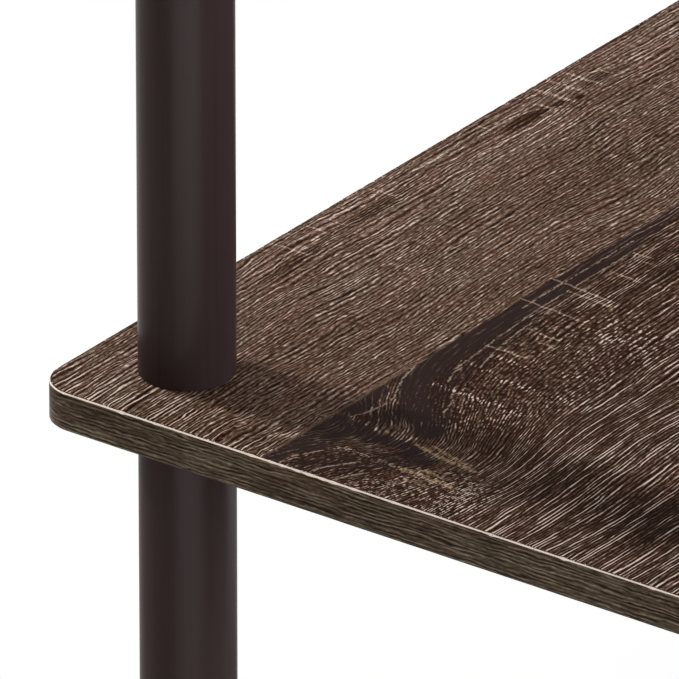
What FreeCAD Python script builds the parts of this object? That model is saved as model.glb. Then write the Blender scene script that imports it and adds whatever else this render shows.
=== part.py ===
# Open shelving unit: three wood-look boards stacked on four round plastic posts.
# Each post is a chain of pieces that screw together by hand and clamp the boards between them:
# foot, board, tube, board, tube, board, cap. A tube has a plug with a stud in its lower end and a plug
# with a socket in its upper end. A stud goes down through the hole in a board and into the socket or
# the foot below it.
# Units are millimetres. The origin is on the floor under the middle of the unit. X runs along the boards'
# long side, Y from the front to the back and Z up.
import FreeCAD
import Part

import math
import os

# Boards: particle board with a printed foil bonded to both faces
shelf_count = 3
shelf_width = 600.0
shelf_depth = 295.0
board_thickness = 13.5
corner_radius = 14.0

# Strip glued round the edge of each board, trimmed to a small bevel above and below
band_thickness = 1.0
band_bevel = 0.45

# Posts, with their axes this far in from the boards' short ends and long edges
end_inset = 37.0
side_inset = 35.0

# Tubes
tube_diameter = 32.0
tube_wall = 1.5
tube_length = 333.0

# Plugs pressed into the tubes: many-sided barrels whose corners bite into the tube
plug_sides = 6
plug_length = 24.0
plug_clearance = 0.05
plug_floor = 4.0
plug_wall = 2.2
socket_wall = 5.0

# Studs that screw through the boards, drawn at the mean diameter of their thread and cored out from
# below. They are as thick as the sockets in the plugs allow.
stud_wall = 2.4
stud_core_sides = 4
stud_engagement = 20.0
thread_clearance = 0.1
hole_clearance = 0.75

# Feet: round blocks cored out from below, with a blind socket for the lowest studs
foot_height = 26.0
foot_bevel = 1.2
foot_wall = 2.0
foot_roof = 4.0

# Caps: low buttons cored out from below, with a stud of their own
cap_height = 18.0
cap_bevel = 2.4
cap_wall = 2.0
cap_roof = 5.0

# Pockets that core out the feet and the caps between their ribs
pocket_count = 6
pocket_rib = 1.8
boss_wall = 2.0
socket_end_gap = 2.2

# One overrun for every tool that cuts past a face
overrun = 1.0

# Sizes that follow
shelf_pitch = board_thickness + tube_length
tube_radius = tube_diameter / 2
tube_bore_radius = tube_radius - tube_wall
plug_corner_radius = tube_bore_radius - plug_clearance
plug_flat_radius = plug_corner_radius * math.cos(math.pi / plug_sides)
socket_radius = plug_flat_radius - socket_wall
stud_radius = socket_radius - thread_clearance
stud_reach = board_thickness + stud_engagement
hole_radius = stud_radius + hole_clearance

V = FreeCAD.Vector
UP = V(0, 0, 1)

POSTS = {
    "front_left": (-1, -1),
    "front_right": (1, -1),
    "back_left": (-1, 1),
    "back_right": (1, 1),
}


def post_place(name):
    """X and Y of a post's axis."""
    side, face = POSTS[name]
    return side * (shelf_width / 2 - end_inset), face * (shelf_depth / 2 - side_inset)


def shelf_bottom(level):
    """Height of a board's underside. Level 0 is the lowest board."""
    return foot_height + level * shelf_pitch


def shelf_top(level):
    """Height of a board's upper face."""
    return shelf_bottom(level) + board_thickness


def at_post(solid, name, height):
    """Copy of a piece moved onto a post, with the piece's own zero at the given height."""
    x, y = post_place(name)
    placed = solid.copy()
    placed.translate(V(x, y, height))
    return placed


def cylinder(radius, bottom, top):
    """Solid cylinder on the Z axis between two heights."""
    return Part.makeCylinder(radius, top - bottom, V(0, 0, bottom), UP)


def prism(points, bottom, top):
    """Upright prism from a closed outline of (x, y) points."""
    outline = [V(x, y, bottom) for x, y in points]
    outline.append(outline[0])
    return Part.Face(Part.makePolygon(outline)).extrude(V(0, 0, top - bottom))


def regular_prism(sides, corner_distance, bottom, top):
    """Upright prism with equal sides, its corners this far from the Z axis."""
    angles = [2 * math.pi * number / sides for number in range(sides)]
    corners = [(corner_distance * math.cos(angle), corner_distance * math.sin(angle)) for angle in angles]
    return prism(corners, bottom, top)


def edges_at(solid, height):
    """The edges of a solid that lie flat at one height."""
    return [edge for edge in solid.Edges if edge.BoundBox.ZMin == edge.BoundBox.ZMax == height]


def rounded_slab(width, depth, radius, bottom, top):
    """Flat slab with round corners, centred on the Z axis."""
    slab = Part.makeBox(width, depth, top - bottom, V(-width / 2, -depth / 2, bottom))
    uprights = [edge for edge in slab.Edges if edge.BoundBox.XLength + edge.BoundBox.YLength < radius]
    return slab.makeFillet(radius, uprights)


def inner_slab(bottom, top):
    """The board inside its edge strip, before it is drilled."""
    width = shelf_width - 2 * band_thickness
    depth = shelf_depth - 2 * band_thickness
    return rounded_slab(width, depth, corner_radius - band_thickness, bottom, top)


def make_board(level):
    """Board drilled for the studs of the four posts."""
    bottom = shelf_bottom(level)
    top = shelf_top(level)
    drill = cylinder(hole_radius, bottom - overrun, top + overrun)
    return inner_slab(bottom, top).cut([at_post(drill, name, 0) for name in POSTS])


def make_edge_band(level):
    """Strip round a board, bevelled where its upper and lower edges were trimmed."""
    bottom = shelf_bottom(level)
    top = shelf_top(level)
    outside = rounded_slab(shelf_width, shelf_depth, corner_radius, bottom, top)
    rims = [edge for edge in outside.Edges if edge.BoundBox.ZLength < band_bevel]
    return outside.makeChamfer(band_bevel, rims).cut(inner_slab(bottom - overrun, top + overrun))


def make_tube():
    """Straight plastic tube, standing on zero."""
    outside = cylinder(tube_radius, 0, tube_length)
    return outside.cut(cylinder(tube_bore_radius, -overrun, tube_length + overrun))


def with_stud(body, root):
    """Joins a stud to the underside of a body that rests on zero, from its tip up to the height of its root."""
    core = regular_prism(stud_core_sides, stud_radius - stud_wall, -stud_reach - overrun, 0)
    return body.fuse(cylinder(stud_radius, -stud_reach, root)).removeSplitter().cut(core)


def make_stud_plug():
    """Plug for a tube's lower end, a cup with the stud under it. Its zero is the tube's lower end."""
    barrel = regular_prism(plug_sides, plug_corner_radius, 0, plug_length)
    hollow = regular_prism(plug_sides, plug_corner_radius - plug_wall, plug_floor, plug_length + overrun)
    return with_stud(barrel.cut(hollow), plug_floor)


def make_socket_plug():
    """Plug for a tube's upper end, open right through. Its zero is the tube's upper end."""
    barrel = regular_prism(plug_sides, plug_corner_radius, -plug_length, 0)
    return barrel.cut(cylinder(socket_radius, -plug_length - overrun, overrun))


def pockets(boss_radius, inside_radius, bottom, top):
    """Cutters that core out a round block between a central boss and its outer wall, leaving ribs."""
    half_angle = math.pi / pocket_count
    far = inside_radius * math.cos(half_angle)

    def half_width(distance):
        return distance * math.tan(half_angle) - pocket_rib / 2 / math.cos(half_angle)

    outline = [
        (boss_radius, -half_width(boss_radius)),
        (far, -half_width(far)),
        (far, half_width(far)),
        (boss_radius, half_width(boss_radius)),
    ]
    cutters = []
    for number in range(pocket_count):
        cutter = prism(outline, bottom, top)
        cutter.rotate(V(0, 0, 0), UP, number * 360 / pocket_count)
        cutters.append(cutter)
    return cutters


def make_foot():
    """Foot under the lowest board, cored out from the floor side. Its zero is the floor."""
    block = cylinder(tube_radius, 0, foot_height)
    block = block.makeChamfer(foot_bevel, edges_at(block, 0))
    socket = cylinder(socket_radius, foot_height - stud_engagement - socket_end_gap, foot_height + overrun)
    cores = pockets(socket_radius + boss_wall, tube_radius - foot_wall, -overrun, foot_height - foot_roof)
    return block.cut([socket, *cores])


def make_cap():
    """Button that closes a post, with its stud under it. Its zero is the face of the top board."""
    button = cylinder(tube_radius, 0, cap_height)
    button = button.makeChamfer(cap_bevel, edges_at(button, cap_height))
    cores = pockets(stud_radius + boss_wall, tube_radius - cap_wall, -overrun, cap_height - cap_roof)
    return with_stud(button.cut(cores), cap_roof)


def save(name, solids):
    """Writes one node, made of one or more separate solids, and prints what it holds."""
    shape = solids[0] if len(solids) == 1 else Part.makeCompound(solids)
    sound = [solid for solid in shape.Solids if solid.isValid() and solid.Volume > 0]
    if len(sound) != len(solids):
        raise ValueError(f"{name} is not made of {len(solids)} sound solids")
    shape.exportStep(os.path.join("parts", name + ".step"))
    print(f"{name}: {len(solids)} solids, {shape.Volume:.0f} mm3")


def save_shelf(level):
    """Writes one board and its edge strip."""
    save(f"shelf_{level + 1}_board", [make_board(level)])
    save(f"shelf_{level + 1}_edge_band", [make_edge_band(level)])


def save_posts(level):
    """Writes the tubes that stand on one board and the plugs in their ends."""
    lower_end = shelf_top(level)
    upper_end = lower_end + tube_length
    tube = make_tube()
    stud_plug = make_stud_plug()
    socket_plug = make_socket_plug()
    for name in POSTS:
        save(f"tube_{level + 1}_{name}", [at_post(tube, name, lower_end)])
    save(f"stud_plugs_{level + 1}", [at_post(stud_plug, name, lower_end) for name in POSTS])
    save(f"socket_plugs_{level + 1}", [at_post(socket_plug, name, upper_end) for name in POSTS])


os.makedirs("parts", exist_ok=True)
for level in range(shelf_count):
    save_shelf(level)
for level in range(shelf_count - 1):
    save_posts(level)
foot = make_foot()
save("feet", [at_post(foot, name, 0) for name in POSTS])
cap = make_cap()
top_face = shelf_top(shelf_count - 1)
save("caps", [at_post(cap, name, top_face) for name in POSTS])
print(f"overall {shelf_width} x {shelf_depth} x {top_face + cap_height}")
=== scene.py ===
# %% [markdown]
# # Open shelving unit of wood-look boards on round plastic posts
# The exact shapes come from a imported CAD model, the frame. This script loads it, keeps its sizes, and gives
# each piece the surface that the photograph shows. Everything is in metres. X runs along the boards, Y from
# front to back and Z up.

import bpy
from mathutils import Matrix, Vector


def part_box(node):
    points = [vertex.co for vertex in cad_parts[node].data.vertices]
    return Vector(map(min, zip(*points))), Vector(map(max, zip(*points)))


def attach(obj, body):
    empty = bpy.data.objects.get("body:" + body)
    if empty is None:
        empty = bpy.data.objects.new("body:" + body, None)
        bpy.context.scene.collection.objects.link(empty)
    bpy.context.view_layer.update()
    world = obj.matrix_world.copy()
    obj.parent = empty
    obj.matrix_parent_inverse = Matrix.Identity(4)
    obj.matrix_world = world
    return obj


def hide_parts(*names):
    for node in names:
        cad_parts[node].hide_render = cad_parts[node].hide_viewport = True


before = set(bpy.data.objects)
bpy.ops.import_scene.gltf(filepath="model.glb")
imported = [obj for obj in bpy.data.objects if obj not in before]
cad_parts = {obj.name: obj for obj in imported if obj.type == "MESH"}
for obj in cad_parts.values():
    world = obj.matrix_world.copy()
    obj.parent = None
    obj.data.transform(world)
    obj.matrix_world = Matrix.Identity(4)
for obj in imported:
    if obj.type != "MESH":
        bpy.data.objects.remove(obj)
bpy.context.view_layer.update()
print("CAD nodes:", len(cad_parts))

# %% [markdown]
# ## Sizes read from the frame
# Every length that the looks need is read off the CAD nodes, so a board or a post always gets its skin where
# the real piece stands. Small sizes that the frame does not name, such as the bevel on the edge strip, are
# written once here.

# %% Read the boards and the posts
import math
import random
from types import SimpleNamespace

import bmesh
import bpy
from mathutils import Vector, noise

MM = 0.001
POSTS = ("front_left", "front_right", "back_left", "back_right")
shelf_numbers = (1, 2, 3)
tube_levels = (1, 2)

band_low, band_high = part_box("shelf_2_edge_band")
board_low, board_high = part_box("shelf_2_board")
left_end, right_end = band_low.x, band_high.x
front_edge, back_edge = band_low.y, band_high.y
board_thickness = board_high.z - board_low.z
band_thickness = board_low.x - band_low.x
corner_radius = 14.0 * MM
band_bevel = 0.45 * MM

tube_boxes = {post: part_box(f"tube_2_{post}") for post in POSTS}
post_axes = {post: (low + high) / 2 for post, (low, high) in tube_boxes.items()}
tube_radius = (tube_boxes["front_left"][1].x - tube_boxes["front_left"][0].x) / 2
tube_wall = 1.5 * MM
print(f"board {board_thickness / MM:.1f} mm thick, its strip {band_thickness / MM:.2f} mm")
print(f"tube radius {tube_radius / MM:.1f} mm")

# %% [markdown]
# ## Camera
# The photograph is a close view of one corner of the middle board. Its upright lines stay parallel, so it
# was taken from far away with a long lens. The camera is placed from the point where the back left post meets
# the board: a turn, a tilt and a distance give its place, and no lens shift is needed.

# %% Place the camera
camera_turn = math.radians(-53.72)
camera_tilt = math.radians(26.27)
camera_distance = 5.0
camera_aside = 0.0492
camera_above = 0.0098
picture_width = 679
pixels_per_slope = 15480
sensor_width = 36
farthest_seen = 200

post_foot = post_axes["back_left"].copy()
post_foot.z = board_high.z
toward_camera = Vector((
    math.sin(camera_turn) * math.cos(camera_tilt),
    -math.cos(camera_turn) * math.cos(camera_tilt),
    math.sin(camera_tilt),
))
camera_right = Vector((0, 0, 1)).cross(toward_camera).normalized()
camera_up = toward_camera.cross(camera_right)

camera = bpy.data.objects.new("photo_camera", bpy.data.cameras.new("photo_camera"))
bpy.context.scene.collection.objects.link(camera)
camera_place = post_foot + toward_camera * camera_distance + camera_right * camera_aside
camera.location = camera_place + camera_up * camera_above
camera.rotation_mode = "QUATERNION"
camera.rotation_quaternion = toward_camera.to_track_quat("Z", "Y")
camera.data.sensor_width = sensor_width
camera.data.lens = pixels_per_slope / picture_width * sensor_width
camera.data.clip_end = farthest_seen
bpy.context.scene.camera = camera
print("camera at", [round(value, 3) for value in camera.location], "lens", round(camera.data.lens, 1))

# %% [markdown]
# ## Writing shader maths as sums
# A finish is a net of nodes. Written one node at a time, a sum such as 1 - mask takes several lines. A small
# class wraps a node's output, so the sum can be written as it is in Python, and each operation adds one Math
# node. Every other node comes from one method of the finish: its settings are set first, and then the value
# or the link of each of its sockets.

# %% Wrap an output so that it can be used in sums
class Wire:
    """One output of a node. A sum of wires and numbers adds Math nodes and gives a new wire."""

    def __init__(self, finish, socket):
        self.finish = finish
        self.socket = socket

    def math(self, operation, *terms):
        return self.finish.node("ShaderNodeMath", {"operation": operation}, dict(enumerate(terms)))

    def __add__(self, other):
        return self.math("ADD", self, other)

    def __radd__(self, other):
        return self.math("ADD", other, self)

    def __sub__(self, other):
        return self.math("SUBTRACT", self, other)

    def __rsub__(self, other):
        return self.math("SUBTRACT", other, self)

    def __mul__(self, other):
        return self.math("MULTIPLY", self, other)

    def __abs__(self):
        return self.math("ABSOLUTE", self)

    def vector(self, operation, sockets, output="Vector"):
        """A Vector Math node, which gives a vector or a value."""
        return self.finish.node("ShaderNodeVectorMath", {"operation": operation}, sockets, output)

    def wave(self):
        """A smooth wave between -1 and 1, which comes round each time this value grows by 1."""
        return self.math("SINE", self * math.tau)

    def step(self, edge):
        """1 where this value is above the edge, else 0."""
        return self.math("GREATER_THAN", self, edge)

    def rise(self, start, end):
        """Goes smoothly from 0 at the start value to 1 at the end value. If the start is higher, it falls."""
        low, high, first, last = (start, end, 0, 1) if start < end else (end, start, 1, 0)
        sockets = {"Value": self, "From Min": low, "From Max": high, "To Min": first, "To Max": last}
        return self.finish.node("ShaderNodeMapRange", {"interpolation_type": "SMOOTHSTEP"}, sockets)


def strongest(wires):
    """The highest of several values at each point. The first one is a wire."""
    top = wires[0]
    for wire in wires[1:]:
        top = top.math("MAXIMUM", top, wire)
    return top


# %% Make a finish: a material with one method for every kind of node
def linear(red, green, blue):
    """A colour as it is seen on a screen, 0 to 255, as the linear colour that shaders use."""
    parts = [value / 255 for value in (red, green, blue)]
    return [part / 12.92 if part <= 0.04045 else ((part + 0.055) / 1.055) ** 2.4 for part in parts] + [1]


class Finish:
    """A material or world whose nodes are made with node()."""

    def __init__(self, owner):
        owner.use_nodes = True
        self.owner = owner
        self.tree = owner.node_tree
        self.tree.nodes.clear()

    def node(self, kind, settings, sockets, output=0):
        """Adds a node: first its settings, then the value or wire of each socket, by name or by number."""
        made = self.tree.nodes.new(kind)
        for name, setting in settings.items():
            if name == "stops":
                self.set_stops(made.color_ramp, setting)
            elif name == "points":
                self.set_points(made.mapping, setting)
            else:
                setattr(made, name, setting)
        by_key = {socket.identifier: socket for socket in made.inputs}
        by_key.update({socket.name: socket for socket in reversed(made.inputs) if socket.enabled})
        by_key.update(enumerate(made.inputs))
        for key, value in sockets.items():
            if isinstance(value, Wire):
                self.tree.links.new(value.socket, by_key[key])
            else:
                by_key[key].default_value = value
        outputs = [socket for socket in made.outputs if socket.enabled]
        if not outputs:
            return None
        return Wire(self, outputs[output] if isinstance(output, int) else made.outputs[output])

    def set_stops(self, ramp, stops):
        """Gives a colour ramp its stops, each a place from 0 to 1 and a linear colour."""
        while len(ramp.elements) < len(stops):
            ramp.elements.new(1)
        for element, (place, colour) in zip(ramp.elements, stops):
            element.position = place
            element.color = colour

    def set_points(self, mapping, points):
        """Gives a curve its points, each a place from 0 to 1 and a height."""
        curve = mapping.curves[0]
        while len(curve.points) < len(points):
            curve.points.new(1, 1)
        for point, place in zip(curve.points, points):
            point.location = place
        mapping.update()

    def blend(self, mask, colour, other, way="MIX"):
        """A colour that goes to the other colour where the mask is 1, or is tinted by it in another way."""
        settings = {"data_type": "RGBA", "clamp_factor": True, "blend_type": way}
        return self.node("ShaderNodeMix", settings, {"Factor": mask, "A": colour, "B": other})

    def join(self, x, y, z=0):
        """A vector made of three values."""
        return self.node("ShaderNodeCombineXYZ", {}, {"X": x, "Y": y, "Z": z})

    def noise(self, place, detail=1.0, rough=0.5):
        """Soft random value between 0 and 1, about one bump for each unit of the place."""
        sockets = {"Vector": place, "Scale": 1, "Detail": detail, "Roughness": rough}
        return self.node("ShaderNodeTexNoise", {}, sockets)

    def streaks(self, along, across, bumps, apart, detail=1.0, rough=0.5):
        """Noise with so many bumps for each millimetre along and across, set apart from the others."""
        return self.noise(self.join(along * bumps[0], across * bumps[1], apart), detail, rough)

    def place_mm(self):
        """The point being coloured, as three wires in millimetres in the frame."""
        spot = self.node("ShaderNodeTexCoord", {}, {}, "Object")
        parts = {"Vector": spot}
        return [self.node("ShaderNodeSeparateXYZ", {}, parts, axis) * (1 / MM) for axis in ("X", "Y", "Z")]

    def relief(self, height, strength, depth):
        """A surface direction that makes a height look raised by about the depth, in millimetres."""
        sockets = {"Strength": strength, "Distance": depth * MM, "Height": height}
        return self.node("ShaderNodeBump", {}, sockets)

    def paint(self, colour, roughness, gloss, normal):
        """Ends the material in the standard surface, and gives the material."""
        sockets = {"Base Color": colour, "Roughness": roughness, "Specular IOR Level": gloss}
        surface = self.node("ShaderNodeBsdfPrincipled", {}, sockets | {"Normal": normal})
        self.node("ShaderNodeOutputMaterial", {}, {"Surface": surface})
        return self.owner


def new_finish(name):
    return Finish(bpy.data.materials.new(name))


print("shader helpers ready")

# %% [markdown]
# ## Floor and white surroundings
# The unit stands on a white floor in a white room. The floor close to the unit is real paint, so that it
# takes the unit's shadow, and it goes over to plain white further out for rays that show it directly, in a
# mirror or through glass. From below it is clear, so that the undersides can be looked at. The room is white
# to the same rays and gives a weaker, even light to everything else.

# %% Paint the room
room_light = 0.5
floor_size = 12.0
shadow_reach = 0.75
floor_fade = (20.0, 190.0)
floor_white = linear(243, 243, 243)
pure_white = linear(255, 255, 255)


def shown_directly(finish):
    """1 for rays that show a thing to the camera, by themselves, in a gloss or through glass."""
    kinds = ("Is Camera Ray", "Is Glossy Ray", "Is Transmission Ray")
    return strongest([finish.node("ShaderNodeLightPath", {}, {}, kind) for kind in kinds])


scene = bpy.context.scene
scene.view_settings.view_transform = "Standard"
scene.world = bpy.data.worlds.new("white_room")
room = Finish(scene.world)
soft_light = room.node("ShaderNodeBackground", {}, {"Color": pure_white, "Strength": room_light})
white_wall = room.node("ShaderNodeBackground", {}, {"Color": pure_white, "Strength": 1})
room_mix = room.node("ShaderNodeMixShader", {}, {0: shown_directly(room), 1: soft_light, 2: white_wall})
room.node("ShaderNodeOutputWorld", {}, {"Surface": room_mix})

# %% Lay the floor
floor_mesh = bpy.data.meshes.new("floor")
half = floor_size / 2
floor_corners = [(-half, -half, 0), (half, -half, 0), (half, half, 0), (-half, half, 0)]
floor_mesh.from_pydata(floor_corners, [], [(0, 1, 2, 3)])
floor = bpy.data.objects.new("floor", floor_mesh)
scene.collection.objects.link(floor)

floor_finish = new_finish("floor_white")
x, y, z = floor_finish.place_mm()
aside = strongest([abs(x) - right_end / MM, 0])
beyond = strongest([y - back_edge / MM, (front_edge - shadow_reach) / MM - y, 0])
away = aside * aside + beyond * beyond
away = away.math("SQRT", away)
plain = away.rise(*floor_fade) * shown_directly(floor_finish)
paint = floor_finish.node("ShaderNodeBsdfDiffuse", {}, {"Color": floor_white})
glow = floor_finish.node("ShaderNodeEmission", {}, {"Color": pure_white, "Strength": 1})
upper = floor_finish.node("ShaderNodeMixShader", {}, {0: plain, 1: paint, 2: glow})
clear = floor_finish.node("ShaderNodeBsdfTransparent", {}, {})
below = floor_finish.node("ShaderNodeNewGeometry", {}, {}, "Backfacing")
whole = floor_finish.node("ShaderNodeMixShader", {}, {0: below, 1: upper, 2: clear})
floor_finish.node("ShaderNodeOutputMaterial", {}, {"Surface": whole})
floor_mesh.materials.append(floor_finish.owner)
print("floor and room ready")

# %% [markdown]
# ## Lamps
# In the photograph the post throws a narrow shadow across the board toward the front, with fairly crisp
# edges, so the main lamp is small and stands behind the unit. A large soft lamp behind to the right softens
# the dark side of that shadow. Two soft boxes show only in the gloss of the posts: the low one in front draws
# the broad pale band down them, and the tall one the thin line near their right side. The last lamp fills the
# matt surfaces from the front right with slightly cool light.

# %% Hang the lamps
def hang_lamp(name, place, aim, size, watts, glossy=True, matte=True, colour=(1, 1, 1)):
    """Soft box that the camera does not see, facing a point. It can be kept off gloss or off matt paint."""
    lamp = bpy.data.objects.new(name, bpy.data.lights.new(name, "AREA"))
    scene.collection.objects.link(lamp)
    lamp.data.shape = "RECTANGLE"
    lamp.data.size, lamp.data.size_y = size
    lamp.data.energy = watts
    lamp.data.color = colour
    lamp.location = place
    lamp.rotation_mode = "QUATERNION"
    lamp.rotation_quaternion = (Vector(place) - Vector(aim)).to_track_quat("Z", "Y")
    lamp.visible_camera = False
    lamp.visible_glossy = glossy
    lamp.visible_diffuse = matte


def beside_post(turn, distance, height):
    """A point at a turn from the camera's side of the back left post, clockwise seen from above."""
    angle = math.atan2(toward_camera.y, toward_camera.x) + math.radians(turn)
    x = post_foot.x + distance * math.cos(angle)
    y = post_foot.y + distance * math.sin(angle)
    return Vector((x, y, height))


post_middle = post_foot + Vector((0, 0, 0.06))
low_place = beside_post(turn=3, distance=0.75, height=0.35)
tall_place = beside_post(turn=116, distance=0.8, height=0.3)
fill_place = beside_post(turn=74, distance=1.2, height=0.52)
cool_white = (0.9, 0.95, 1)
hang_lamp("key_behind", (-0.32, 2.1, 2.15), post_foot, (0.24, 0.24), watts=50, glossy=False)
hang_lamp("soft_behind_right", (1.3, 1.5, 1.9), post_foot, (0.9, 0.9), watts=8, glossy=False)
hang_lamp("low_front", low_place, post_middle, (0.85, 0.9), watts=18, matte=False)
hang_lamp("tall_right", tall_place, post_middle, (0.36, 0.7), watts=3, matte=False)
hang_lamp("fill_front_right", fill_place, post_middle, (0.5, 0.3), 10, glossy=False, colour=cool_white)

# %% [markdown]
# ## The printed foil of the boards
# The boards are faced with paper printed like old sawn oak: planks with a hard seam between them, a fine
# broken grain, half knots cut off by a seam, and pale saw marks across the grain. One number, the tone, says
# how light the print is at each point, and a ramp turns it into colour. The grain is a wave that runs across
# the plank, so it draws thin light lines with a dark gap beside each. Stretched noise lets the lines drift
# and switches them on and off. To bend them round a knot, the place across the grain is moved first.

# %% Mix the print's colours
print_ramp = [
    (0.0, linear(26, 11, 4)),
    (0.25, linear(51, 30, 18)),
    (0.5, linear(93, 70, 56)),
    (0.75, linear(145, 124, 110)),
    (1.0, linear(224, 207, 198)),
]
knot_black = linear(43, 31, 29)
saw_mark_beige = linear(180, 150, 130)
scar_ochre = linear(186, 156, 118)
ring_pale = linear(186, 166, 148)
red_cast = linear(156, 112, 98)
green_cast = linear(122, 124, 100)

# %% [markdown]
# ### Soft strokes
# A knot is too particular for noise alone. Its dark heart and the light rings round it are laid down as
# brush strokes: straight pieces with a soft edge, joined into trails. A little noise in the place that a
# stroke is measured from makes its edge ragged. A sharp-edged picture would need an image, and this doesn't.

# %% Make soft strokes and marks
def stroke(spot, start, end, width, core=0.4):
    """Straight stroke: 1 within the core's share of its half width, and 0 beyond the half width."""
    reach = Vector((*end, 0)) - Vector((*start, 0))
    gone = spot.vector("SUBTRACT", {0: spot, 1: (*start, 0)})
    share = spot.vector("DOT_PRODUCT", {0: gone, 1: reach / reach.length_squared}, "Value")
    share = spot.finish.node("ShaderNodeClamp", {}, {"Value": share})
    nearest = spot.vector("SCALE", {0: reach, "Scale": share})
    away = spot.vector("DISTANCE", {0: gone, 1: nearest}, "Value")
    return away.rise(width, width * core)


def trails(spot, paths, core=0.4):
    """Strokes along several paths, each a list of points and its half width."""
    strokes = []
    for points, width in paths:
        strokes += [stroke(spot, start, end, width, core) for start, end in zip(points, points[1:])]
    return strongest(strokes)


def saw_mark(across, along, mark, wander):
    """Band across the grain: its place along the board, its two ends across, its lean and its width."""
    place, start, end, lean, width = mark
    off = abs(along - place - (across - start) * lean - wander)
    inside = across.rise(start - 1, start + 2) * across.rise(end + 5, end - 5)
    return off.rise(width, 0) * inside


def dark_oval(across, along, spot):
    """Soft dark oval for smudges in the print and for painted shadow: its middle, its half lengths along and
    across, and its strength.
    """
    place, depth, long_half, short_half, strength = spot
    beside = (along - place) * (1 / long_half)
    above = (across - depth) * (1 / short_half)
    return (beside * beside + above * above).rise(1, 0.1) * strength


# %% [markdown]
# ### The half knot
# All places are in millimetres, first along the board from where the knot begins, then across from the seam
# that cuts it. The pull says how far the grain lines are pushed away from the seam at each place along.

# %% Describe the half knot
pull_curve = [
    (-30, 0), (0, 12), (15, 18), (25, 24), (33, 28), (40, 27), (50, 22),
    (60, 16), (75, 9), (88, 4.5), (100, 2.2), (115, 0.8), (140, 0),
]
pull_depth = (100, 30)
knot_heart = [
    ([(-25, 1), (-6, 2), (22, 4), (38, 3)], 4.0),
    ([(14, 7), (30, 9)], 5.0),
    ([(44, 2.5), (53, 3.5), (62, 2)], 4.0),
    ([(36, 10), (33, 20)], 4.6),
    ([(33, 20), (35, 31), (29, 44)], 3.6),
    ([(47, 32), (54, 25), (62, 15), (74, 7), (92, 4), (210, 2.5)], 6.5),
    ([(205, 2.5), (246, 0)], 3.5),
]
knot_shade = [
    ([(-4, 12), (12, 20), (24, 36)], 13),
    ([(43, 11), (53, 17)], 9),
    ([(60, 28), (70, 18), (90, 13), (130, 9)], 8),
]
knot_rings = [
    ([(41, 5), (46, 7.3), (53, 8.6), (60, 8.2), (66, 5.5), (73, 2.3), (88, -1)], 0.55),
    ([(60, 28), (70, 24.5), (80, 22)], 0.5),
    ([(80, 15.5), (86, 12.8), (92, 13.2)], 0.45),
    ([(95, 17.5), (107, 14.8), (122, 12.6), (150, 11.4), (200, 12)], 0.45),
    ([(88, 12), (112, 10), (138, 8), (200, 8)], 0.4),
    ([(138, 3.4), (158, 3.2), (200, 3.6)], 0.4),
    ([(0, 18), (5, 18.5), (11, 22), (17, 27)], 0.6),
    ([(0, 6), (7, 6.5), (18, 13)], 0.5),
    ([(1, 27), (6, 29), (12, 33)], 0.55),
]
knot_dots = [
    ([(41, 4), (39.5, 19), (38.5, 34)], 2.6),
    ([(37.5, 36), (34.5, 48), (34, 60)], 2.6),
    ([(45, 14), (44, 26)], 1.6),
    ([(22, 6), (21, 26), (20.5, 40), (19.5, 66)], 2.4),
    ([(28, 18), (28, 30)], 1.6),
]
knot_scars = [
    ([(37.5, 34), (34, 47), (33, 60)], 1.3),
    ([(39.5, 39), (36.5, 50), (35, 57)], 1.0),
    ([(20.5, 38), (20.5, 50), (19, 62)], 1.4),
    ([(15, 46), (15, 54)], 1.0),
    ([(24, 45), (23, 54)], 1.2),
]

# %% [markdown]
# ### Where a point lies on the print
# The print repeats its half knot twice on a board, the second time turned round, as a printing roller does.
# The net works the knot out once, in the knot's own places, and a switch in the middle of the board says
# which of the two places that is. The underside shows the same paper, mirrored. Everything that later steps
# need to know about a point is kept under a name, such as at.along, so that each step can be a short one.

# %% Find each point's place
board_width = (right_end - left_end) / MM
plank_jump = 47.3


def knot_places(along, across, layout):
    """Place along and across in the nearer knot's own millimetres, and 1 or -1 for the way it faces."""
    (near_place, near_seam, near_way), (far_place, far_seam, far_way) = layout["knots"]
    far = along.step(layout["middle"])
    way = far * (far_way - near_way) + near_way
    beside = (along - far * (far_place - near_place) - near_place) * way
    deep = (across - far * (far_seam - near_seam) - near_seam) * way
    return beside, deep, way


def print_places(finish, shift, layout):
    """Where each point lies, in millimetres from the board's back left corner and from the nearer knot."""
    at = SimpleNamespace()
    x, y, z = finish.place_mm()
    under = 1 - z.step(layout["half_height"])
    at.along = abs(under * board_width - (x - left_end / MM))
    at.across = back_edge / MM - y

    # Beyond a seam the noises jump to another place, and the plank is a little lighter or darker.
    wobble = finish.noise(finish.join(at.along * 0.05, 0, shift + 60), 3, 0.6) - 0.5
    past_seams = [(at.across + wobble * 1.5).step(seam) for seam, _ in layout["seams"]]
    at.shift, at.plank_tone = shift, 0
    for past, (_, change) in zip(past_seams, layout["seams"]):
        at.shift = past * plank_jump + at.shift
        at.plank_tone = past * change + at.plank_tone

    # The half knots lie in the middle plank, between the two seams.
    (at.back_seam, _), (front_seam, _) = layout["seams"]
    at.past_back_seam = past_seams[0]
    behind = (at.across - at.back_seam + wobble * 4).rise(-1.4, 0.6)
    before = (front_seam - at.across + wobble * 4).rise(-1.4, 0.6)
    at.inside = behind * before
    at.beside, at.deep, at.way = knot_places(at.along, at.across, layout)
    at.knot_spot = finish.join(at.beside, at.deep)
    return at


# %% [markdown]
# ### The grain
# The lines of the grain come from one wave across the plank. Their place wanders slowly, and more finely by
# less, and the half knots push it aside. Two spacings are blended, because in the photograph the lines lie
# closer together in some patches. Where the grain is open the lines are long and strong, and close to the
# knot they break into specks.

# %% Bend the grain and draw its wave
wide_spacing = 0.48
close_spacing = 0.74


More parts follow.
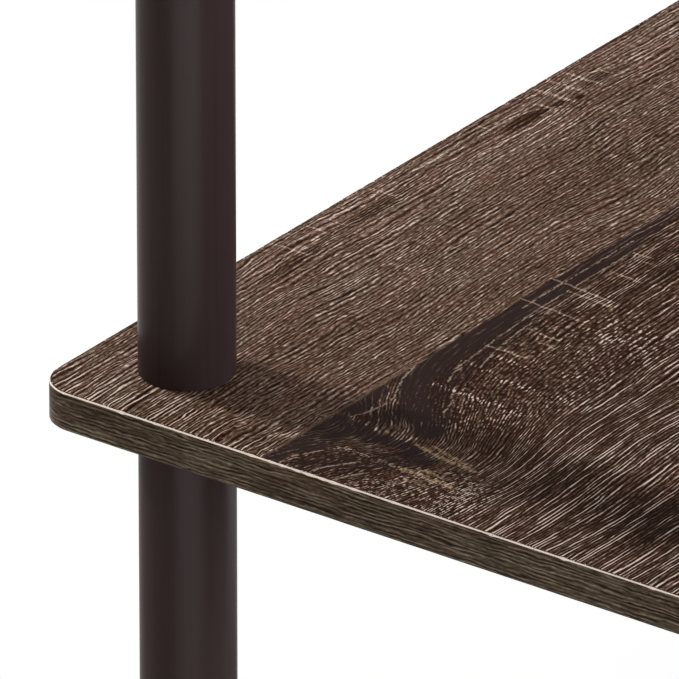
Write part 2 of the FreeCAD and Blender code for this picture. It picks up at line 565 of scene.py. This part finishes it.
def knot_pull(finish, beside, deep):
    """How far a half knot pushes the grain away from its seam, in millimetres."""
    first, last = pull_curve[0][0], pull_curve[-1][0]
    tallest = max(pull for _, pull in pull_curve)
    points = [((place - first) / (last - first), pull / tallest) for place, pull in pull_curve]
    share = (beside - first) * (1 / (last - first))
    height = finish.node("ShaderNodeFloatCurve", {"points": points}, {"Value": share})
    return height * tallest * deep.rise(*pull_depth)


def bend_grain(finish, at):
    """The place across the grain once it has wandered and been pushed aside."""
    slow = finish.noise(finish.join(at.along * 0.012 + at.shift, at.across * 0.02)) - 0.5
    at.quick = finish.noise(finish.join(at.along * 0.07, at.across * 0.22 + at.shift)) - 0.5
    ripple = finish.join(at.along * 0.16, at.across * 0.4 + at.shift, at.shift + 14)
    ripple = finish.noise(ripple) - 0.5
    lively = 1 + at.along.rise(60, 5) * at.across.rise(50, 80) * at.across.rise(160, 120)
    lively = lively - at.across.rise(120, 180) * 0.5
    pull = knot_pull(finish, at.beside, at.deep) * at.inside * at.way
    return at.across + slow * 9 + (at.quick * 1.5 + ripple * 1.4) * lively - pull


def grain_wave(finish, at):
    """A wave across the grain, from -1 to 1. Its lines drift, and here and there they lie closer together."""
    drift = finish.streaks(at.along, at.grain, (0.018, 0.14), at.shift + 3) * 2.2
    wide = (at.grain * wide_spacing + drift).wave()
    close = (at.grain * close_spacing + drift).wave()
    share = finish.streaks(at.along, at.grain, (0.03, 0.12), at.shift + 63)
    share = (share + at.grain.rise(0, 50) * 0.06 + at.grain.rise(130, 190) * 0.08).rise(0.45, 0.62)
    return wide + (close - wide) * share


# %% Choose where lines show
def line_places(finish, at):
    """1 where the wave's crests show as lines: long where the grain is open, and specks close to the knot."""
    at.patches = finish.streaks(at.along, at.across, (0.02, 0.03), at.shift + 51).rise(0.35, 0.65)
    at.left_lines = at.along.rise(30, 4) * (1 - at.past_back_seam)
    at.open = strongest([
        at.across.rise(at.back_seam + 45, at.back_seam + 75),
        at.beside.rise(110, 150) * at.inside * 0.8,
        at.patches * 0.4,
        at.left_lines,
        at.across.rise(60, 25) * 0.7,
    ])
    at.broken = strongest([
        stroke(at.knot_spot, (2, 14), (12, 58), 26, 0.4),
        stroke(at.knot_spot, (74, 30), (130, 36), 30, 0.5),
    ]) * at.inside
    short = finish.streaks(at.along, at.grain, (0.16, 0.9), at.shift + 9)
    long = finish.streaks(at.along, at.grain, (0.04, 1.2), at.shift + 23, 1.5)
    at.speck = finish.streaks(at.along, at.across, (0.55, 1.05), at.shift + 27)
    gate = short + (long - short) * at.open
    gate = gate + (at.speck - gate) * at.broken
    return gate.rise(0.44, 0.6)


# %% Lay the lines on their ground
ground_tone = 0.545
line_strength = 0.25


def lay_grain(finish, at):
    """The tone of plain wood: light lines, dark gaps and cracks on a ground of fibres, clouds and mottles."""
    at.grain = bend_grain(finish, at)
    at.wave = grain_wave(finish, at)
    at.crest = at.wave.rise(0.05, 1.0) * line_places(finish, at)
    trough = at.wave.rise(0.2, -0.95)
    cracked = finish.streaks(at.along, at.grain, (0.07, 0.4), at.shift + 97).rise(0.5, 0.62)
    crack = at.wave.rise(-0.55, -1.0) * cracked

    at.fibre = finish.streaks(at.along, at.grain, (0.42, 1.6), at.shift, 1.5, 0.6) - 0.5
    cloud = finish.streaks(at.along, at.grain, (0.01, 0.06), at.shift, 2) - 0.5
    mottle = finish.streaks(at.along, at.grain, (0.06, 0.2), at.shift + 31) - 0.5
    back, front = at.across.rise(60, 10), at.across.rise(130, 170)
    ground = ground_tone + at.fibre * 1.2 + cloud * 0.24 + mottle * 0.15 + at.plank_tone
    ground = ground + back * 0.05 - at.left_lines * 0.04 - front * 0.02

    # Lines and gaps are stronger together: at the left end, in open grain and toward the front edge.
    near_back = at.across.rise(55, 30) * at.along.rise(240, 140)
    strength = line_strength + at.patches * 0.07 - at.broken * 0.12 + at.left_lines * 0.34
    strength = strength + at.past_back_seam * at.open * 0.26 + front * 0.29 + near_back * 0.07
    lines = at.crest * strength - trough * (0.21 + strength * 0.28) - crack * 0.4
    return ground + lines + at.broken * ((at.speck - 0.5) * 0.9 - 0.04)


# %% [markdown]
# ### The knot and the saw marks
# The knot's heart and shade are ragged strokes, and its rings and scars are finer ones. In front of it the
# grain is crossed by slanting strokes. A saw mark shows as a column of short dashes, one on each grain line
# that it crosses. These could be painted over the grain, but then the grain would vanish under them. So they
# change the tone, and only the black of the heart and the palest marks go over the colour at the end.

# %% Lay the knot
def lay_knot(finish, at, tone):
    """The tone with the knot's heart and shade in it. The strokes are kept for its colours."""
    blotch = finish.streaks(at.along, at.across, (0.09, 0.12), at.shift + 80, 2) - 0.5
    at.fine = finish.streaks(at.along, at.across, (0.5, 0.7), 5.0) - 0.5
    beads = finish.streaks(at.along, at.across, (0.9, 0.9), 7.0)
    ragged = finish.join(at.beside + at.fibre * 5, at.deep + at.fibre * 3 + blotch * 4)
    tidy = finish.join(at.beside + at.fine * 1.5, at.deep + at.fine * 1.5)
    at.heart = trails(ragged, knot_heart, 0.55) * at.inside
    at.shade = trails(ragged, knot_shade, 0.2) * at.inside
    at.rings = trails(tidy, knot_rings, 0.3) * at.inside * at.speck.rise(0.34, 0.52)
    at.scars = trails(tidy, knot_scars, 0.3) * at.inside * beads.rise(0.34, 0.62)
    at.dots = trails(tidy, knot_dots, 0.3) * at.inside
    slant = finish.streaks(at.beside + at.deep, at.beside - at.deep, (0.9, 0.25), 4.0) - 0.5
    crossed = stroke(at.knot_spot, (4, 48), (24, 70), 22, 0.2) * at.inside
    return tone - at.heart * 0.1 - at.shade * 0.2 + slant * crossed * 0.7


# %% Lay the saw marks, the smudges and painted shadow, and the bright streaks
def lay_marks(finish, at, layout, tone):
    """The tone with the layout's own marks in it."""
    wander = at.quick * 2
    at.marks = strongest([saw_mark(at.across, at.along, mark, wander) for mark in layout["saw_marks"]])
    bands = strongest([saw_mark(at.across, at.along, mark, wander) for mark in layout["saw_bands"]])
    at.dashes = at.wave.rise(-0.3, 0.9) * at.speck.rise(0.36, 0.6)
    tone = tone + strongest([at.marks, bands, at.dots * 0.55]) * (at.dashes * 0.54 - 0.02)
    # Dark ovals: smudges in the print, and on the middle board also painted shadow that deepens the back left
    # post's cast shadow.
    for spot in layout["smudges_and_shadow"]:
        tone = tone - dark_oval(at.across, at.along, spot)
    loose = finish.join(at.along + at.fine * 1.5, at.across + at.quick * 3 + at.fine * 1.5)
    return tone + trails(loose, layout["bright_streaks"], 0.2) * at.speck.rise(0.3, 0.5) * 0.3


# %% Turn the tone into colour
def foil_colour(finish, at, tone):
    """The ramp's colour with a faint red or green cast, and the knot's black and the pale marks over it."""
    ramp = finish.node("ShaderNodeValToRGB", {"stops": print_ramp}, {"Fac": tone})
    tint = finish.streaks(at.along, at.grain, (0.03, 0.1), at.shift + 70, 2)
    cast = finish.blend(tint.rise(0.4, 0.6), red_cast, green_cast)
    colour = finish.blend(0.2, ramp, cast, "OVERLAY")

    fading = (1 - at.beside.rise(110, 250) * 0.35) * at.beside.rise(250, 222)
    showing = strongest([at.crest * 0.34, at.dots * at.dashes * 0.6])
    heart = at.heart * (0.9 - showing + at.fibre * 0.8)
    shade = at.shade * (0.45 - showing * 0.6)
    colour = finish.blend(strongest([heart, shade]) * fading, colour, knot_black)

    worn = at.speck.rise(0.28, 0.48)
    colour = finish.blend(at.rings * 0.5, colour, ring_pale)
    colour = finish.blend(at.marks.rise(0.5, 1.0) * worn * 0.45, colour, saw_mark_beige)
    return finish.blend(at.scars * worn * 0.72, colour, scar_ochre)


# %% Put the foil's net together
foil_gloss = 0.02


def foil_finish(name, shift, layout):
    """The printed foil of one board. The shift gives each board its own noises."""
    finish = new_finish(name)
    at = print_places(finish, shift, layout)
    tone = lay_grain(finish, at)
    tone = lay_knot(finish, at, tone)
    tone = lay_marks(finish, at, layout, tone)
    normal = finish.relief(at.wave * 0.3 + at.fibre, strength=0.3, depth=0.06)
    return finish.paint(foil_colour(finish, at, tone), 0.6 + at.fibre * 0.3, foil_gloss, normal)


# %% [markdown]
# ### Three boards from one roll
# The middle board is the one in the photograph, so its seams, marks and left knot stand where they do there.
# What the photograph does not show follows the same manner. The other boards get their own layout.

# %% Lay out the print of each board
layouts = {}
layouts[2] = {
    "seams": [(92.5, -0.1), (263, 0.08)],
    "knots": [(0, 92.5, 1), (505, 263, -1)],
    "middle": 252,
    "saw_marks": [
        (109, 101, 122, -0.03, 1.2), (127, 104, 122, -0.12, 1.2), (121, 114, 124, -0.12, 1.1),
        (143.5, 90, 118, -0.08, 1.1), (161.5, 90, 119, -0.1, 1.2), (157, 100, 121, -0.08, 1.1),
        (177, 103, 118, -0.05, 1.2), (193, 100, 110, 0, 1.2), (189, 106, 112, 0, 1.1),
        (128.5, 2, 17, 0, 1.0), (145.5, 2, 14, 0, 0.9), (154, 5, 14, 0, 0.9), (163.5, 1, 8, 0, 0.9),
        (181, 2, 15, 0, 0.9), (241, 2, 11, 0, 1.1), (266.5, 8, 19, 0, 1.3), (275.5, 2, 19, 0, 1.7),
        (284, 1, 19, 0, 1.4), (292, 2, 19, 0, 1.5), (301, 9, 18, 0, 1.2), (402, 150, 196, 0.05, 1.6),
        (417, 168, 201, 0.05, 1.3), (352, 24, 60, 0, 1.2),
    ],
    "saw_bands": [
        (76.5, 102, 123, -0.05, 3.2), (94.5, 101, 116, -0.1, 3.0), (91.5, 118, 151, -0.03, 3.0),
        (104, 108, 124, -0.05, 2.2), (75, 124, 142, -0.05, 2.6), (107, 131, 143, 0, 2.6),
        (137.5, 122, 143, -0.03, 2.4), (157, 106, 126, -0.05, 2.4), (177, 112, 128, 0, 2.4),
    ],
    "bright_streaks": [
        ([(234, 9), (248, 8), (262, 11), (270, 17)], 0.7),
        ([(268, 4), (282, 7), (296, 9), (306, 13)], 0.7), ([(222, 17.5), (240, 18), (262, 18.5)], 0.6),
        ([(168, 9), (176, 7.5), (190, 7)], 0.6), ([(110, 13), (124, 11), (140, 11)], 0.6),
        ([(202, 8.5), (216, 8), (226, 9)], 0.6),
    ],
    "smudges_and_shadow": [
        (255, 13.5, 17, 3.4, 0.34), (297, 14, 12, 2.8, 0.16), (271, 15.5, 4.5, 1.7, 0.45),
        (279.5, 17.5, 3, 1.2, 0.45), (170, 13.5, 26, 3.0, 0.16), (120, 15.5, 24, 3.0, 0.16),
        # Painted shadow: these three round ovals, 38 to 55 mm along and 150 to 216 mm across, lie in the back
        # left post's cast shadow and darken it further.
        (42, 178, 24, 22, 0.13), (38, 216, 25, 22, 0.15), (55, 150, 20, 18, 0.13),
        (80, 168, 22, 14, 0.09), (180, 108, 50, 24, 0.085),
    ],
}
layouts[1] = {
    "seams": [(118, -0.07), (204, 0.09)],
    "knots": [(150, 204, -1), (330, 118, 1)],
    "middle": 250,
    "saw_marks": [
        (406, 128, 156, 0, 1.6), (421, 126, 170, 0.04, 1.5), (437, 131, 149, 0, 1.3),
        (58, 150, 186, 0, 1.5), (44, 160, 192, -0.05, 1.4), (214, 20, 66, 0, 1.4),
        (232, 31, 58, 0.05, 1.2), (532, 220, 262, 0, 1.6),
    ],
    "saw_bands": [(412, 130, 160, 0, 2.8), (226, 24, 58, 0.04, 2.6)],
    "bright_streaks": [([(80, 34), (104, 33), (130, 36)], 0.7), ([(500, 66), (524, 68)], 0.6)],
    "smudges_and_shadow": [(120, 40, 46, 3.2, 0.16), (486, 74, 60, 3.0, 0.12)],
}
layouts[3] = {
    "seams": [(70, 0.08), (226, -0.09)],
    "knots": [(60, 70, 1), (560, 226, -1)],
    "middle": 310,
    "saw_marks": [
        (140, 82, 112, 0, 1.6), (155, 80, 126, -0.04, 1.5), (171, 86, 104, 0, 1.3),
        (470, 168, 210, 0, 1.6), (452, 176, 214, 0.05, 1.4), (250, 238, 276, 0, 1.5),
        (384, 12, 48, 0, 1.3),
    ],
    "saw_bands": [(148, 84, 118, -0.04, 2.8), (460, 172, 206, 0.04, 2.6)],
    "bright_streaks": [([(270, 24), (300, 25), (322, 28)], 0.7), ([(410, 250), (436, 248)], 0.6)],
    "smudges_and_shadow": [(300, 30, 52, 3.4, 0.16), (420, 255, 44, 3.0, 0.14)],
}
print("saw marks:", sum(len(layout["saw_marks"]) for layout in layouts.values()))

# %% Print the foils
board_shift = 3.7
for number in shelf_numbers:
    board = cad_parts[f"shelf_{number}_board"]
    low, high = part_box(f"shelf_{number}_board")
    layout = layouts[number] | {"half_height": (low.z + high.z) / 2 / MM}
    board.data.materials.clear()
    board.data.materials.append(foil_finish(f"foil_{number}", board_shift * (number - 2), layout))
print("nodes in one print:", len(bpy.data.materials["foil_2"].node_tree.nodes))

# %% [markdown]
# ## The edge strip
# A strip of thin plastic, printed like the grain, is glued round each board, and its two edges are trimmed to
# a small bevel. The trimming cuts through the print and shows the pale body of the plastic as a thin uneven
# line. On the upper bevel that pale colour is also a painted highlight, the light its edge catches, and the
# faces that look down are painted dark as shade. The strip could be a swept curve, but then the bevel could
# not vary. So its section is written as a list of points, how far in and how high, and carried round the
# board's outline point by point.

# %% Follow the outline of a board
corner_steps = 18
outline_step = 2.0 * MM


def board_outline(step):
    """Points round the board's outer edge, each with the direction that faces outward."""
    corners = []
    for side, face, start in ((1, -1, -90), (1, 1, 0), (-1, 1, 90), (-1, -1, 180)):
        centre = Vector((side * (right_end - corner_radius), face * (back_edge - corner_radius)))
        for number in range(corner_steps + 1):
            angle = math.radians(start + 90 * number / corner_steps)
            outward = Vector((math.cos(angle), math.sin(angle)))
            corners.append((centre + outward * corner_radius, outward))
    outline = []
    for (place, outward), (after, _) in zip(corners, corners[1:] + corners[:1]):
        pieces = max(1, round((after - place).length / step))
        outline += [(place.lerp(after, number / pieces), outward) for number in range(pieces)]
    return outline


strip_outline = board_outline(outline_step)
print("points round the strip:", len(strip_outline))


# %% Turn point rings into a piece
crease_angle = math.radians(28)


def close_rings(mesh, rings):
    """Faces between each ring of points and the next, and from the last ring back to the first."""
    for ring, after in zip(rings, rings[1:] + rings[:1]):
        for number in range(len(ring)):
            following = (number + 1) % len(ring)
            mesh.faces.new((ring[number], ring[following], after[following], after[number]))


def finish_mesh(mesh, name):
    """A new object from a mesh under work, smooth but for its sharp edges."""
    bmesh.ops.recalc_face_normals(mesh, faces=mesh.faces)
    for face in mesh.faces:
        face.smooth = True
    data = bpy.data.meshes.new(name)
    mesh.to_mesh(data)
    mesh.free()
    data.set_sharp_from_angle(angle=crease_angle)
    piece = bpy.data.objects.new(name, data)
    scene.collection.objects.link(piece)
    return piece


# %% Carry the strip's section round the board
ease = 0.12 * MM
waver_rate = 90
strips_apart = 7.3
edges_apart = 40
nick_count = 110
nick_range = (0.1, 0.3)


def strip_section(height, top_bevel, bottom_bevel):
    """The strip's section as (distance inward, height) points, starting under the inside and going round."""
    return [
        (band_thickness, 0),
        (bottom_bevel, 0),
        (bottom_bevel - ease, ease * 0.4),
        (ease * 0.4, bottom_bevel - ease),
        (0, bottom_bevel),
        (0, height / 2),
        (0, height - top_bevel),
        (ease * 0.4, height - top_bevel + ease),
        (top_bevel - ease, height - ease * 0.4),
        (top_bevel, height),
        (band_thickness, height),
    ]


def make_strip(number):
    """Edge strip of one board, its bevels a little uneven and nicked here and there."""
    low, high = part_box(f"shelf_{number}_edge_band")
    dice = random.Random(number)
    nicks = [(dice.randrange(len(strip_outline)), dice.uniform(*nick_range)) for _ in range(nick_count)]
    nick_depth = dict(nicks)
    mesh = bmesh.new()
    rings = []
    for index, (place, outward) in enumerate(strip_outline):
        upper = Vector((place.x * waver_rate, place.y * waver_rate, number * strips_apart))
        lower = upper + Vector((0, 0, edges_apart))
        top_bevel = band_bevel * (0.9 + 0.2 * noise.noise(upper)) + nick_depth.get(index, 0) * MM
        bottom_bevel = band_bevel * (0.9 + 0.16 * noise.noise(lower))
        ring = []
        for inward, height in strip_section(high.z - low.z, top_bevel, bottom_bevel):
            spot = place - outward * inward
            ring.append(mesh.verts.new((spot.x, spot.y, low.z + height)))
        rings.append(ring)
    close_rings(mesh, rings)
    return finish_mesh(mesh, f"edge_strip_{number}")


strips = {number: make_strip(number) for number in shelf_numbers}
print("strip faces:", len(strips[2].data.polygons))

# %% Print the strip and bare its bevel
strip_ramp = [
    (0.0, linear(26, 15, 7)),
    (0.3, linear(50, 38, 26)),
    (0.5, linear(78, 65, 51)),
    (0.72, linear(110, 97, 81)),
    (1.0, linear(160, 145, 127)),
]
# The pale plastic also serves as a painted highlight on the upper bevel, and the rim brown as painted shade
# on faces that look down.
strip_body_and_highlight_pale = linear(240, 222, 208)
strip_rim_and_shade_brown = linear(54, 41, 34)
strip_gloss = 0.04


def strip_finish(number):
    """Print of fine lines along the strip, pale plastic and a painted highlight on its upper bevel, painted
    shade below.
    """
    low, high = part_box(f"shelf_{number}_edge_band")
    finish = new_finish(f"strip_print_{number}")
    x, y, z = finish.place_mm()
    height = z - low.z / MM
    drift = finish.streaks(x, y, (0.04, 0.04), height * 0.3 + number * 5) - 0.5
    ripple = finish.streaks(x, y, (0.16, 0.16), height * 0.5 + number * 7) - 0.5
    level = height + drift * 2.0 + ripple * 1.2
    wave = (level * 0.75 + finish.streaks(x, y, (0.02, 0.02), level * 0.3 + number) * 1.5).wave()
    dash = finish.streaks(x, y, (0.07, 0.07), level * 1.2 + number * 11, 1.5)
    dark = wave.rise(0.1, -0.9) * dash.rise(0.42, 0.56)
    light = wave.rise(0.0, 0.95) * dash.rise(0.6, 0.44)
    grit = finish.streaks(x, y, (0.3, 0.3), level * 1.7, 1.5, 0.6) - 0.5
    band = finish.streaks(x, y, (0.015, 0.015), level * 0.35 + number * 17) - 0.5
    tone = 0.51 + grit * 0.7 + band * 0.4 - dark * 0.36 + light * 0.26
    ramp = finish.node("ShaderNodeValToRGB", {"stops": strip_ramp}, {"Fac": tone})
    gold = finish.streaks(x, y, (0.04, 0.04), level * 0.2 + 31)
    cast = finish.blend(gold.rise(0.4, 0.6), red_cast, green_cast)
    colour = finish.blend(0.18, ramp, cast, "OVERLAY")

    # The faces that the trimming left are told apart by how far they look up.
    facing = finish.node("ShaderNodeNewGeometry", {}, {}, "True Normal")
    upward = finish.node("ShaderNodeSeparateXYZ", {}, {"Vector": facing}, "Z")
    fray_and_glint = finish.streaks(x, y, (0.9, 0.9), height * 0.4, 2, 0.7)
    bevel = upward.rise(0.2, 0.35) * upward.rise(0.995, 0.97)
    rim = abs(upward).rise(0.97, 0.995)
    # Painted shade: faces that look down, the lower bevel among them, get the dark rim brown.
    underside = upward.rise(-0.1, -0.3)
    colour = finish.blend(strongest([rim, underside]), colour, strip_rim_and_shade_brown)
    colour = finish.blend(rim * fray_and_glint.rise(0.58, 0.7), colour, strip_body_and_highlight_pale)
    # Painted highlight, partly: the upward bevel goes pale both as bared plastic and as the light its edge
    # catches.
    colour = finish.blend(bevel * fray_and_glint.rise(0.2, 0.4), colour, strip_body_and_highlight_pale)
    normal = finish.relief(wave * 0.3 + grit, strength=0.3, depth=0.05)
    return finish.paint(colour, 0.42 + grit * 0.3, strip_gloss, normal)


for number, strip in strips.items():
    strip.data.materials.append(strip_finish(number))
    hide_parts(f"shelf_{number}_edge_band")
    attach(strip, "root")
print("strips in place:", len(strips))

# %% [markdown]
# ## Tubes
# The posts are tubes of dark brown plastic. A plain cylinder would do for the side, but the tube is open at
# its ends, so a closed outline of its wall is turned round the axis. The corners of the outline are eased,
# because a moulded or cut edge is never quite sharp.

# %% Turn an outline round an axis
tube_ease = 0.35 * MM
same_place = 0.001 * MM


def eased(outline, reach, steps=4):
    """The closed outline with each corner replaced by a small curve that starts this far from it."""
    smooth = []
    for index, corner in enumerate(outline):
        before, after = outline[index - 1], outline[(index + 1) % len(outline)]
        corner, before, after = Vector(corner), Vector(before), Vector(after)
        start = corner + (before - corner).normalized() * min(reach, (before - corner).length / 2.2)
        end = corner + (after - corner).normalized() * min(reach, (after - corner).length / 2.2)
        for number in range(steps + 1):
            share = number / steps
            smooth.append(start.lerp(corner, share).lerp(corner.lerp(end, share), share))
    return smooth


def turned(name, outline, segments=96):
    """Round piece: a closed outline of (radius, height) points turned round the Z axis."""
    mesh = bmesh.new()
    rings = []
    for number in range(segments):
        angle = 2 * math.pi * number / segments
        ring = [(radius * math.cos(angle), radius * math.sin(angle), height) for radius, height in outline]
        rings.append([mesh.verts.new(place) for place in ring])
    close_rings(mesh, rings)
    bmesh.ops.remove_doubles(mesh, verts=mesh.verts, dist=same_place)
    return finish_mesh(mesh, name)


tube_low, tube_high = tube_boxes["back_left"]
tube_length = tube_high.z - tube_low.z
tube_outline = eased([
    (tube_radius - tube_wall, 0),
    (tube_radius, 0),
    (tube_radius, tube_length),
    (tube_radius - tube_wall, tube_length),
], tube_ease)
print("points in the tube's outline:", len(tube_outline))

# %% Colour the tube plastic
plastic_gloss = 0.03


def plastic_finish(name, colour, dull, grain_size):
    """Satin plastic: an even colour with a soft mottle, and a surface that is never quite flat."""
    finish = new_finish(name)
    x, y, z = finish.place_mm()
    drawn = finish.streaks(x, y, (0.5, 0.5), z * 0.012, 2) - 0.5
    fine = finish.streaks(x, y, (grain_size, grain_size), z * grain_size, 2, 0.6) - 0.5
    darker = [part * 0.8 for part in colour[:3]] + [1]
    lighter = [part * 1.2 for part in colour[:3]] + [1]
    mixed = finish.blend(0.5 + drawn * 0.8 + fine * 0.5, darker, lighter)
    normal = finish.relief(fine, strength=0.12, depth=0.05)
    return finish.paint(mixed, dull + fine * 0.12 + drawn * 0.1, plastic_gloss, normal)


espresso = linear(53, 41, 40)
charcoal = linear(46, 44, 44)
tube_plastic = plastic_finish("tube_plastic", espresso, dull=0.32, grain_size=1.6)
moulded_plastic = plastic_finish("moulded_plastic", espresso, dull=0.45, grain_size=2.4)
connector_plastic = plastic_finish("connector_plastic", charcoal, dull=0.5, grain_size=2.0)
print("plastics ready")

# %% Stand the tubes on their boards
for level in tube_levels:
    for post in POSTS:
        low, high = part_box(f"tube_{level}_{post}")
        tube = turned(f"post_tube_{level}_{post}", tube_outline)
        tube.location = ((low.x + high.x) / 2, (low.y + high.y) / 2, low.z)
        tube.data.materials.append(tube_plastic)
        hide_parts(f"tube_{level}_{post}")
        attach(tube, "root")
print("tubes:", len(tube_levels) * len(POSTS))

# %% [markdown]
# ## Caps and feet
# A low button closes each post at the top, and a round foot carries it at the bottom. Both are moulded, so
# their edges are softly rounded. The cap is turned from one outline with its stud. The foot is turned too,
# and then cored out from below with six wedges, which leaves the thin ribs that a moulding has.

# %% Turn the caps
caps_low, caps_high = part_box("caps")
stud_reach = 33.5 * MM
stud_radius = 7.41 * MM
cap_height = caps_high.z - caps_low.z - stud_reach
cap_shoulder = 2.6 * MM
cap_crown = 0.5 * MM
cap_ease = 0.3 * MM
cap_outline = eased([
    (stud_radius, 0),
    (stud_radius, -stud_reach),
    (0, -stud_reach),
    (0, cap_height),
    (tube_radius * 0.5, cap_height - cap_crown * 0.2),
    (tube_radius - cap_shoulder, cap_height - cap_crown),
    (tube_radius, cap_height - cap_crown - cap_shoulder),
    (tube_radius, 0),
], cap_ease)
for post in POSTS:
    cap = turned(f"post_cap_{post}", cap_outline)
    cap.location = (post_axes[post].x, post_axes[post].y, caps_low.z + stud_reach)
    cap.data.materials.append(moulded_plastic)
    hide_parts("caps")
    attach(cap, "root")
print(f"cap height {cap_height / MM:.1f} mm")

# %% Turn and core the feet
feet_low, feet_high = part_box("feet")
foot_height = feet_high.z - feet_low.z
foot_wall = 2.0 * MM
foot_roof = 4.0 * MM
socket_radius = 7.51 * MM
socket_floor = 3.8 * MM
boss_radius = socket_radius + 2.0 * MM
pocket_rib = 1.8 * MM
pocket_count = 6
pocket_overrun = 1.0 * MM
foot_ease = 0.9 * MM
foot_outline = eased([
    (0, 0),
    (tube_radius, 0),
    (tube_radius, foot_height),
    (socket_radius, foot_height),
    (socket_radius, socket_floor),
    (0, socket_floor),
], foot_ease, steps=6)


def cut_pocket(mesh, number):
    """Closed wedge between the boss and the outer wall, which cores the foot from below."""
    half_angle = math.pi / pocket_count
    middle_angle = 2 * math.pi * number / pocket_count
    gap = pocket_rib / 2 / math.cos(half_angle)
    near, far = boss_radius, tube_radius - foot_wall
    corners = []
    for radius in (near, far):
        spread = half_angle - math.asin(gap / radius)
        for share in ((-1, -0.5, 0, 0.5, 1) if radius == near else (1, 0.5, 0, -0.5, -1)):
            angle = middle_angle + spread * share
            corners.append((radius * math.cos(angle), radius * math.sin(angle)))
    lower = [mesh.verts.new((x, y, -pocket_overrun)) for x, y in corners]
    upper = [mesh.verts.new((x, y, foot_height - foot_roof)) for x, y in corners]
    mesh.faces.new(lower[::-1])
    mesh.faces.new(upper)
    for index in range(len(corners)):
        after = (index + 1) % len(corners)
        mesh.faces.new((lower[index], lower[after], upper[after], upper[index]))


def make_foot():
    """Foot with its socket from above and its pockets from below."""
    block = turned("foot_block", foot_outline)
    wedges = bmesh.new()
    for number in range(pocket_count):
        cut_pocket(wedges, number)
    cutter = finish_mesh(wedges, "foot_pockets")
    carve = block.modifiers.new("pockets", "BOOLEAN")
    carve.operation = "DIFFERENCE"
    carve.solver = "EXACT"
    carve.object = cutter
    carved = block.evaluated_get(bpy.context.evaluated_depsgraph_get())
    shaped = bpy.data.meshes.new_from_object(carved)
    shaped.set_sharp_from_angle(angle=crease_angle)
    for spare in (block, cutter):
        bpy.data.objects.remove(spare)
    return shaped


foot_mesh = make_foot()
foot_mesh.materials.clear()
foot_mesh.materials.append(moulded_plastic)
for post in POSTS:
    foot = bpy.data.objects.new(f"post_foot_{post}", foot_mesh)
    scene.collection.objects.link(foot)
    foot.location = (post_axes[post].x, post_axes[post].y, feet_low.z)
    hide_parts("feet")
    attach(foot, "root")
print("foot faces:", len(foot_mesh.polygons))

# %% [markdown]
# ## Plugs inside the posts
# The plugs hide in the tubes and in the boards, so the CAD pieces stay as they are and only get their
# plastic.

# %% Colour the plugs
for name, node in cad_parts.items():
    if "plugs" in name:
        node.data.materials.clear()
        node.data.materials.append(connector_plastic)
print("plugs coloured")
